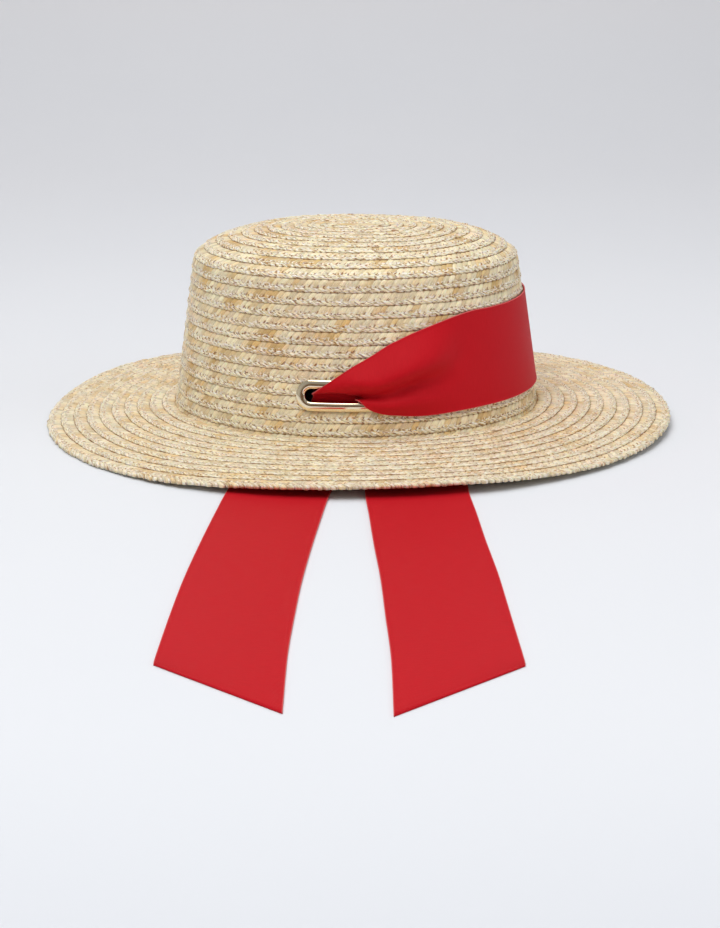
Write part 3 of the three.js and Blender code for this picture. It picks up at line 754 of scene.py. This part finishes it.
def loop_mesh(name, loops):
    count = len(loops[0])
    faces = []
    for i in range(len(loops)):
        for j in range(count):
            a, b = i * count, ((i + 1) % len(loops)) * count
            faces.append((a + j, b + j, b + (j + 1) % count, a + (j + 1) % count))
    mesh = smooth_mesh(name, np.concatenate(loops), faces)
    faces_out(mesh)
    return mesh


eyelets = []
for name, side in (("near", 1), ("far", -1)):
    node = f"eyelet_{name}"
    loops = [oblong(distance, out, side) for distance, out in eyelet_section()]
    eyelets.append(new_piece(f"{node}_metal", loop_mesh(node, loops), "eyelet", node))
print("eyelet faces:", len(eyelets[0].data.polygons))

# %% [markdown]
# Now the straw. The rows on the crown's side that meet a slot are cut by an oblong block, with the
# Boolean modifier. Only those few rows need it, and its edges hide under the eyelets' flanges.

# %% Rows of the crown
TIP_ROWS = 10
SIDE_ROWS = 12
MIDDLE_GAP = 0.06  # half the slit that is left where the first row meets itself
TIP_NUMBER, SIDE_NUMBER, FOOT_NUMBER, BRIM_NUMBER = 0, 20, 40, 60  # each row has a number of its own
CUT_FROM, CUT_TO = 7, 10  # the rows of the side that a slot cuts, and the first one past them
CUT_CLEAR = 0.1
FOOT_SHORT = 0.5  # what the last row leaves free of the crown's line
CUT_REACH = (6, -8)  # how far the block goes out of the crown's side, and in
on_tip = slice(0, int(TIP_END / LINE_STEP))
tip_start = float(np.interp(BUTTON_R, LINE_R[on_tip], LINE[on_tip]))
tip_edges = [MIDDLE_GAP] + list(tip_start + (TIP_END - tip_start) * np.arange(TIP_ROWS + 1) / TIP_ROWS)
side_edges = TIP_END + (SIDE_END - TIP_END) * np.arange(SIDE_ROWS + 1) / SIDE_ROWS
tip_rows = sewn_rows(on_crown, tip_edges, TIP_NUMBER, first=0)
side_rows = sewn_rows(on_crown, side_edges, SIDE_NUMBER)
side_rows.append(plait_row(on_crown, SIDE_END, float(LINE[-1]) - FOOT_SHORT, FOOT_NUMBER, last=True))
cutters = []
for side in (1, -1):
    reach = SLOT_HEIGHT / 2 + BARREL_WALL + CUT_CLEAR
    mesh = bpy.data.meshes.new("slot_block")
    rings = [oblong(reach, out, side) for out in CUT_REACH]
    count = len(rings[0])
    walls = [(j, count + j, count + (j + 1) % count, (j + 1) % count) for j in range(count)]
    caps = [tuple(range(count)), tuple(range(count, 2 * count))[::-1]]
    mesh.from_pydata((np.concatenate(rings) * MM).tolist(), [], walls + caps)
    faces_out(mesh)
    cutters.append(link("slot_block", mesh))


def cut_rows(name, rows):
    """One mesh of rows, each with the two slots cut out of it."""
    bm = bmesh.new()
    for row in rows:
        strip = link(name, mesh_from_rows(name, [row]))
        for block in cutters:
            cut = strip.modifiers.new("slot", "BOOLEAN")
            cut.operation = "DIFFERENCE"
            cut.solver = "MANIFOLD"
            cut.object = block
        bpy.context.view_layer.update()
        ready = strip.evaluated_get(bpy.context.evaluated_depsgraph_get())
        bm.from_mesh(bpy.data.meshes.new_from_object(ready))
        bpy.data.objects.remove(strip)
    mesh = bpy.data.meshes.new(name)
    bm.to_mesh(mesh)
    bm.free()
    return mesh


straw = {}
above, slotted, below = side_rows[:CUT_FROM], side_rows[CUT_FROM:CUT_TO], side_rows[CUT_TO:]
for part, rows in (("tip", tip_rows), ("upper", above), ("slots", slotted), ("lower", below)):
    name = f"crown_{part}"
    mesh = (cut_rows if part == "slots" else mesh_from_rows)(name, rows)
    straw[name] = new_piece(name, mesh, "crown_straw", "crown")
for block in cutters:
    bpy.data.objects.remove(block)
print({name: len(piece.data.polygons) for name, piece in straw.items()})

# %% [markdown]
# The brim's rows go on outward from the foot of the crown. The last row shows its outer edge, so
# it is thicker there, where the real plait is turned under, and its facets make a small scallop.

# %% Rows of the brim
BRIM_ROWS = 10
brim_edges = (BRIM_R - SEAM_R) * np.arange(BRIM_ROWS + 1) / BRIM_ROWS
brim_rows = sewn_rows(on_brim, brim_edges, BRIM_NUMBER, last=BRIM_ROWS - 1)
half = BRIM_ROWS // 2
for name, part in (("brim_inner", brim_rows[:half]), ("brim_outer", brim_rows[half:])):
    straw[name] = new_piece(name, mesh_from_rows(name, part), "brim_straw", "brim")
print("brim faces:", [len(straw[name].data.polygons) for name in ("brim_inner", "brim_outer")])

# %% [markdown]
# Materials are built from nodes. A small class keeps them readable: each function makes a node,
# sets its plain values, joins whatever is passed as a socket, and gives back what comes out.

# %% Node helpers
class Nodes:
    def __init__(self, tree):
        self.tree = tree

    def feed(self, inputs, values):
        for key, value in values.items():
            if isinstance(value, bpy.types.NodeSocket):
                self.tree.links.new(value, inputs[key])
            else:
                inputs[key].default_value = value

    def add(self, kind, values=None, **settings):
        node = self.tree.nodes.new(kind)
        for key, value in settings.items():
            setattr(node, key, value)
        self.feed(node.inputs, values or {})
        return node

    def calc(self, operation, a, b=0.0, clamp=False):
        return self.add("ShaderNodeMath", {0: a, 1: b}, operation=operation, use_clamp=clamp).outputs[0]

    def times(self, a, b):
        return self.calc("MULTIPLY", a, b)

    def ramp(self, value, low, high, to_low=0.0, to_high=1.0, kind="SMOOTHSTEP"):
        sockets = {"Value": value, "From Min": low, "From Max": high, "To Min": to_low, "To Max": to_high}
        return self.add("ShaderNodeMapRange", sockets, interpolation_type=kind).outputs[0]

    def noise(self, where, scale=1.0, detail=2.0):
        return self.add("ShaderNodeTexNoise", {"Vector": where, "Scale": scale, "Detail": detail}).outputs[0]

    def mix(self, share, a, b, blend="MIX"):
        sockets = {0: share, 6: a, 7: b}
        return self.add("ShaderNodeMix", sockets, data_type="RGBA", blend_type=blend).outputs[2]

    def vector(self, x, y):
        return self.add("ShaderNodeCombineXYZ", {0: x, 1: y}).outputs[0]

    def split(self, vector):
        return self.add("ShaderNodeSeparateXYZ", {0: vector}).outputs

    def uv(self, name):
        return self.add("ShaderNodeUVMap", uv_map=name).outputs[0]

    def place(self, output="Object"):
        return self.add("ShaderNodeTexCoord").outputs[output]

    def bump(self, height, strength, distance):
        sockets = {"Height": height, "Strength": strength, "Distance": distance}
        return self.add("ShaderNodeBump", sockets).outputs[0]


def new_material(name, pieces):
    """A material for the pieces: its nodes, and its shader's sockets."""
    material = bpy.data.materials.new(name)
    material.use_nodes = True
    for piece in pieces:
        piece.data.materials.clear()
        piece.data.materials.append(material)
    return Nodes(material.node_tree), material.node_tree.nodes["Principled BSDF"].inputs


def colour(r, g, b):
    """Linear light from the 0 to 255 values of a colour picker."""
    light = [((v / 255 + 0.055) / 1.055) ** 2.4 if v > 10 else v / 255 / 12.92 for v in (r, g, b)]
    return tuple(light) + (1.0,)


print("cream straw in linear light:", [round(v, 2) for v in colour(235, 215, 170)])

# %% [markdown]
# Wheat straw varies from stalk to stalk: some facets are silver-grey, some honey, most cream, and
# a stalk keeps its colour over several facets before the next one is fed in. The group below reads
# the plait map, gives each facet its own random value and each stretch a slow one, paints shade into
# the gaps between facets and along a row's edges, and paints small glints. Both straws of the hat,
# crown and brim, use it with their own colours.
# Across a row the map counts the margin from 0 to 1, the lobes to 2 and the strand to 3.

# %% Plaited straw, as a node group
# How fast each pattern changes along and across, its shift across, and its detail.
PATTERNS = {
    "stretch": (0.27, 7.3, 0.0, 2.0),
    "blush": (0.21, 5.1, 60.0, 2.0),
    "fibre": (14.0, 1.6, 0.0, 2.0),
    # The painted glints, then the flecks of painted shade:
    "painted_glints": (2.1, 3.3, 0.0, 0.0),
    "shade_flecks": (2.6, 3.7, 40.0, 0.0),
    "wander": (1.3, 2.7, 0.0, 0.0),
    "shade_strength": (0.45, 3.1, 0.0, 2.0),
}
# Where each ramp begins and ends, and its values there if they are not 0 and 1.
RAMPS = {
    "honey": (-0.1, 0.2),
    "blush": (0.5, 0.7),
    "fibre": (0.3, 0.7, 0.8, 1.13),
    "tone": (0.0, 1.0, 0.84, 1.1),
    # The painted glints, then the flecks of painted shade:
    "painted_glints": (0.52, 0.57),
    "shade_flecks": (0.6, 0.72),
    # Where the painted shade falls:
    "seam": (0.7, 1.0),
    "pit": (0.45, 0.85),
    "pit's width": (0.26, 0.1),
    "pit's column": (0.3, 0.7, 1.78, 2.3),
    "pit's depth": (0.2, 0.8, 0.0, 0.85),
    "tips": (0.3, 0.9),
    "tips' column": (1.3, 1.03),
    "margin's column": (1.1, 0.98),
    "strand's column": (1.95, 2.05),
    "busy column": (1.5, 1.9),
    "edge's column": (2.88, 2.99),
    "shade_strength": (0.32, 0.6, 0.75, 1.0),
}
OWN_TONE = 0.06  # how much a facet's own random value adds to the slow one
# How much lighter the strand is painted, as a painted sheen.
STRAND_PAINTED_SHEEN = 0.25
BLUSH = (1.0, 0.92, 0.92, 1.0)
# The colour of the painted glints.
PAINTED_GLINT_COLOUR = (1.0, 0.93, 0.8, 1.0)
LEAN = 0.5  # how far the painted glints and flecks of painted shade lean along the row with each column
# How dark the painted shade is in seams, in flecks, between the lobes' tips, and at a free edge.
SEAM_DARK, SHADE_FLECK_DARK, TIP_DARK, EDGE_DARK = 0.14, 0.9, 0.4, 0.9
STRAW_ROUGH = (0.26, 0.46)
# How much smoother the painted glints are, how much rougher the painted shade, and how high fibres stand.
PAINTED_GLINT_SMOOTHER, SHADE_ROUGHER, FIBRE_HEIGHT = 0.12, 0.4, 0.25


def straw_group():
    tree = bpy.data.node_groups.new("plaited_straw", "ShaderNodeTree")
    for way, kind, names in (
        ("INPUT", "Color", "Pale Honey Gap"), ("INPUT", "Float", "Patches Sparkle"),
        ("OUTPUT", "Color", "Colour"), ("OUTPUT", "Float", "Roughness Height"),
    ):
        for name in names.split():
            tree.interface.new_socket(name, in_out=way, socket_type="NodeSocket" + kind)
    given = tree.nodes.new("NodeGroupInput").outputs
    put = tree.nodes.new("NodeGroupOutput").inputs
    n = Nodes(tree)

    def ramp(name, value):
        return n.ramp(value, *RAMPS[name])

    def pattern(name, along, across):
        fast_along, fast_across, shift, detail = PATTERNS[name]
        v = n.calc("ADD", n.times(across, fast_across), shift)
        return n.noise(n.vector(n.times(along, fast_along), v), detail=detail)

    x, y = n.split(n.uv("plait"))[:2]
    facet, column = n.calc("FLOOR", x), n.calc("FLOOR", y)
    row = n.calc("FLOOR", n.calc("DIVIDE", y, float(MAP_COLUMNS)))
    place = n.calc("MODULO", y, float(MAP_COLUMNS))
    white = n.add("ShaderNodeTexWhiteNoise", {"Vector": n.vector(facet, column)}, noise_dimensions="2D")
    chance = white.outputs["Value"]
    again = n.calc("FRACT", n.times(chance, 7.0))  # a second random value for each facet

    # Colour: honey stretches on pale straw, with fibres, and a tone of its own for each facet.
    slow = n.times(n.calc("SUBTRACT", pattern("stretch", facet, row), 0.5), given["Patches"])
    honey = ramp("honey", n.calc("ADD", slow, n.times(n.calc("SUBTRACT", chance, 0.5), OWN_TONE)))
    # The strand is painted lighter, as painted sheen where it catches the light.
    strand = ramp("strand's column", place)
    honey = n.calc("SUBTRACT", honey, n.times(strand, STRAND_PAINTED_SHEEN), clamp=True)
    blush = ramp("blush", pattern("blush", facet, row))
    pale = n.mix(blush, given["Pale"], n.mix(1.0, given["Pale"], BLUSH, "MULTIPLY"))
    body = n.mix(honey, pale, given["Honey"])
    fibre = pattern("fibre", x, y)
    body = n.mix(1.0, body, ramp("fibre", fibre), "MULTIPLY")
    body = n.mix(1.0, body, ramp("tone", again), "MULTIPLY")

    # Painted highlights as small bright glints, and small flecks of painted shade, on the strand and the
    # lobes next to it.
    leaning = n.calc("SUBTRACT", x, n.times(place, LEAN))
    busy = ramp("busy column", place)

    def marks(name):
        spots = ramp(name, pattern(name, leaning, y))
        return n.times(n.times(spots, busy), given["Sparkle"])

    painted_glints, shade_flecks = marks("painted_glints"), marks("shade_flecks")
    painted_glossy = n.mix(painted_glints, body, PAINTED_GLINT_COLOUR)

    # Painted shade: faint in the seams between facets, darker in the pits where strands cross, between the
    # lobes' tips, and along the row's two edges.
    rim = n.times(n.calc("ABSOLUTE", n.calc("SUBTRACT", n.calc("FRACT", x), 0.5)), 2.0)
    crossing = ramp("pit's column", pattern("wander", x, row))
    off_crossing = n.calc("ABSOLUTE", n.calc("SUBTRACT", place, crossing))
    pit = n.times(ramp("pit", rim), ramp("pit's width", off_crossing))
    tips = n.times(ramp("tips", rim), ramp("tips' column", place))
    # How strong the painted shade along a row's two edges is, changing along the row.
    shade_strength = ramp("shade_strength", pattern("shade_strength", x, row))
    gap = n.times(ramp("seam", rim), SEAM_DARK)
    for mask, most in (
        (pit, ramp("pit's depth", again)),
        (shade_flecks, SHADE_FLECK_DARK),
        (tips, TIP_DARK),
        (ramp("margin's column", place), shade_strength),
        (ramp("edge's column", place), n.times(shade_strength, EDGE_DARK)),
    ):
        gap = n.calc("MAXIMUM", gap, n.times(mask, most))

    rough = n.ramp(chance, 0.0, 1.0, *STRAW_ROUGH, "LINEAR")
    rough = n.calc("SUBTRACT", rough, n.times(painted_glints, PAINTED_GLINT_SMOOTHER))
    # The painted shade darkens the colour towards the shade colour and makes the straw rougher.
    n.feed(put, {
        "Colour": n.mix(gap, painted_glossy, given["Gap"]),
        "Roughness": n.calc("ADD", rough, n.times(gap, SHADE_ROUGHER)),
        "Height": n.calc("SUBTRACT", n.times(fibre, FIBRE_HEIGHT), gap),
    })
    return tree


plaited_straw = straw_group()
print("straw group has", len(plaited_straw.nodes), "nodes")

# %% [markdown]
# Each straw gives the group its pale and honey colours, the colour of its painted shade, the strength
# of its patches, and how strong its painted glints and flecks are. Some of the light passes into the
# straw, which keeps the shaded plait warm.

# %% Straw for the crown and the brim
STRAWS = {
    "crown": (colour(250, 236, 199), colour(223, 187, 123), colour(146, 88, 26), 1.0, 1.0),
    "brim": (colour(244, 230, 196), colour(229, 197, 140), colour(158, 100, 38), 0.9, 0.75),
}
for part, values in STRAWS.items():
    pieces = [piece for name, piece in straw.items() if name.startswith(part)]
    n, surface = new_material(f"{part}_straw", pieces)
    values = dict(zip(("Pale", "Honey", "Gap", "Patches", "Sparkle"), values))
    group = n.add("ShaderNodeGroup", values, node_tree=plaited_straw).outputs
    n.feed(surface, {"Base Color": group["Colour"], "Roughness": group["Roughness"]})
    n.feed(surface, {"Normal": n.bump(group["Height"], 0.8, 0.0003), "Subsurface Weight": 0.25})
    n.feed(surface, {"Subsurface Radius": (1.0, 0.6, 0.28), "Subsurface Scale": 0.0012})
    print(part, "straw for", [piece.name for piece in pieces])

# %% [markdown]
# The ribbon is a closely woven cloth with fine ribs across it, and a narrow pale line along each edge.
# The cloth map runs in millimetres along it and from 0 to 1 across, so the ribs are a sine of the
# length, and the edge is a step near 0 and 1.

# %% Ribbon cloth
RIB = 0.62
EDGE_STEP = (0.985, 0.99)  # from the middle, in halves of the width
THREADS = (1.6, 9.0)  # how fast the dye changes along and across
RIB_HEIGHT, DYE_HEIGHT = 0.5, 0.8
RED, DEEP_RED, EDGE_RED = colour(202, 20, 34), colour(188, 13, 27), colour(220, 100, 100)
n, surface = new_material("ribbon_red", [ribbon])
along, across = n.split(n.uv("cloth"))[:2]
ribs = n.calc("SINE", n.times(along, FULL / RIB))
from_middle = n.times(n.calc("ABSOLUTE", n.calc("SUBTRACT", across, 0.5)), 2.0)
dye = n.noise(n.vector(n.times(along, THREADS[0]), n.times(across, THREADS[1])), detail=3.0)
cloth_red = n.mix(dye, DEEP_RED, RED)
relief = n.calc("ADD", n.times(ribs, RIB_HEIGHT), n.times(dye, DYE_HEIGHT))
cloth_colour = n.mix(n.ramp(from_middle, *EDGE_STEP, kind="LINEAR"), cloth_red, EDGE_RED)
n.feed(surface, {"Base Color": cloth_colour, "Normal": n.bump(relief, 0.5, 0.0001)})
n.feed(surface, {"Roughness": 0.56, "Sheen Weight": 0.02, "Specular IOR Level": 0.1})
print("ribbon material has", len(n.tree.nodes), "nodes")

# %% [markdown]
# Polished metal shows little but its surroundings. Fine scratches make its roughness uneven.

# %% Eyelet metal
SCRATCHES = 900.0
SCRATCH_ROUGH = (0.3, 0.7, 0.05, 0.12)
n, surface = new_material("eyelet_metal", eyelets)
rough = n.ramp(n.noise(n.place(), SCRATCHES, 4.0), *SCRATCH_ROUGH, "LINEAR")
# Its warm tint is a painted reflection of the straw around it.
n.feed(surface, {"Base Color": colour(238, 222, 190), "Metallic": 1.0, "Roughness": rough})
print("metal material has", len(n.tree.nodes), "nodes")

# %% [markdown]
# The table is a pale sheet that runs back and curves up behind the hat, so no horizon shows.
# The sheet is a grid bent by its own profile, far larger than the hat. Its paper is painted a little
# darker towards the camera, as painted shade, and a little warmer where it rises behind the hat, as a
# painted tint of the light there.

# %% Floor
SWEEP = [
    (-1600, 0), (-600, 0), (300, 0), (700, 4), (1000, 30), (1250, 110),
    (1450, 260), (1580, 480), (1640, 760), (1660, 1400), (1660, 2600),
]
SWEEP_STEPS, FLOOR_COLUMNS, FLOOR_HALF = 120, 9, 2600
NEAR_SHADE_FROM_TO = (-0.4, -0.68)  # metres along Y
BACK_TINT_FROM_TO = (0.05, 0.6)  # metres up
profile = smooth_line(np.array([(0, y, z) for y, z in SWEEP], float), np.linspace(0, 1, SWEEP_STEPS))
widths = np.linspace(-FLOOR_HALF, FLOOR_HALF, FLOOR_COLUMNS)
grid = profile[:, None, :] + np.stack([widths, 0 * widths, 0 * widths], -1)[None, :, :]
faces = []
for i in range(SWEEP_STEPS - 1):
    for j in range(FLOOR_COLUMNS - 1):
        a, b = i * FLOOR_COLUMNS + j, (i + 1) * FLOOR_COLUMNS + j
        faces.append((a, a + 1, b + 1, b))
floor = link("floor", smooth_mesh("floor", grid.reshape(-1, 3), faces))
n, surface = new_material("floor_paper", [floor])
where = n.place()
spot = n.split(where)
paper = n.mix(n.noise(where, 3.0), colour(231, 235, 241), colour(235, 238, 243))
# Painted shade: darker towards the camera.
paper = n.mix(n.ramp(spot[1], *NEAR_SHADE_FROM_TO), paper, colour(221, 225, 232))
# Painted light: a warmer tint where the sheet rises behind the hat.
paper = n.mix(n.ramp(spot[2], *BACK_TINT_FROM_TO), paper, colour(250, 237, 231))
n.feed(surface, {"Base Color": paper, "Roughness": 0.8, "Specular IOR Level": 0.2})
print("floor faces:", len(faces))

# %% [markdown]
# The light is a large soft panel above, a weaker one from the front, and a pale room around.
# Top light makes the tip and the brim bright and leaves the side of the crown a tone darker.
# The room is brighter to the sides, and dark brown low down in front, which the eyelet shows.

# %% Light
ROOM_LIGHT = 0.41
SKY = (0.84, 0.86, 0.9, 1)
SKY_LOW = (0.72, 0.72, 0.74, 1)
SKY_SIDE = (1.15, 1.13, 1.11, 1)
LOW_FRONT = (0.36, 0.22, 0.14, 1)


def soft_panel(name, place, target, size, power, tint):
    data = bpy.data.lights.new(name, "AREA")
    data.shape = "RECTANGLE"
    data.size, data.size_y = size[0] * MM, size[1] * MM
    data.energy = power
    data.color = tint
    light = link(name, data)
    light.location = Vector(place) * MM
    light.rotation_euler = (Vector(target) - Vector(place)).to_track_quat("-Z", "Y").to_euler()


soft_panel("panel_above", (-150, 0, 1700), (0, 0, 0), (1900, 1500), 14, (1.0, 0.993, 0.975))
soft_panel("panel_front", (-350, -850, 1400), (0, 0, 40), (900, 700), 9, (1.0, 0.98, 0.95))
soft_panel("panel_right", (1150, -450, 650), (60, 0, 60), (700, 900), 2, (1.0, 0.99, 0.97))
world = bpy.data.worlds.new("room")
world.use_nodes = True
n = Nodes(world.node_tree)
towards = n.split(n.place("Generated"))
sideways = n.ramp(n.calc("ABSOLUTE", towards[0]), 0.35, 0.8)
low_front = n.times(n.ramp(towards[1], -0.72, -0.93), n.ramp(towards[2], 0.4, 0.1))
sky = n.mix(sideways, SKY_LOW, SKY_SIDE)
sky = n.mix(n.ramp(towards[2], 0.05, 0.55), sky, SKY)
sky = n.mix(low_front, sky, LOW_FRONT)
n.feed(n.tree.nodes["Background"].inputs, {"Color": sky, "Strength": ROOM_LIGHT})
bpy.context.scene.world = world
bpy.context.scene.view_settings.view_transform = "Standard"
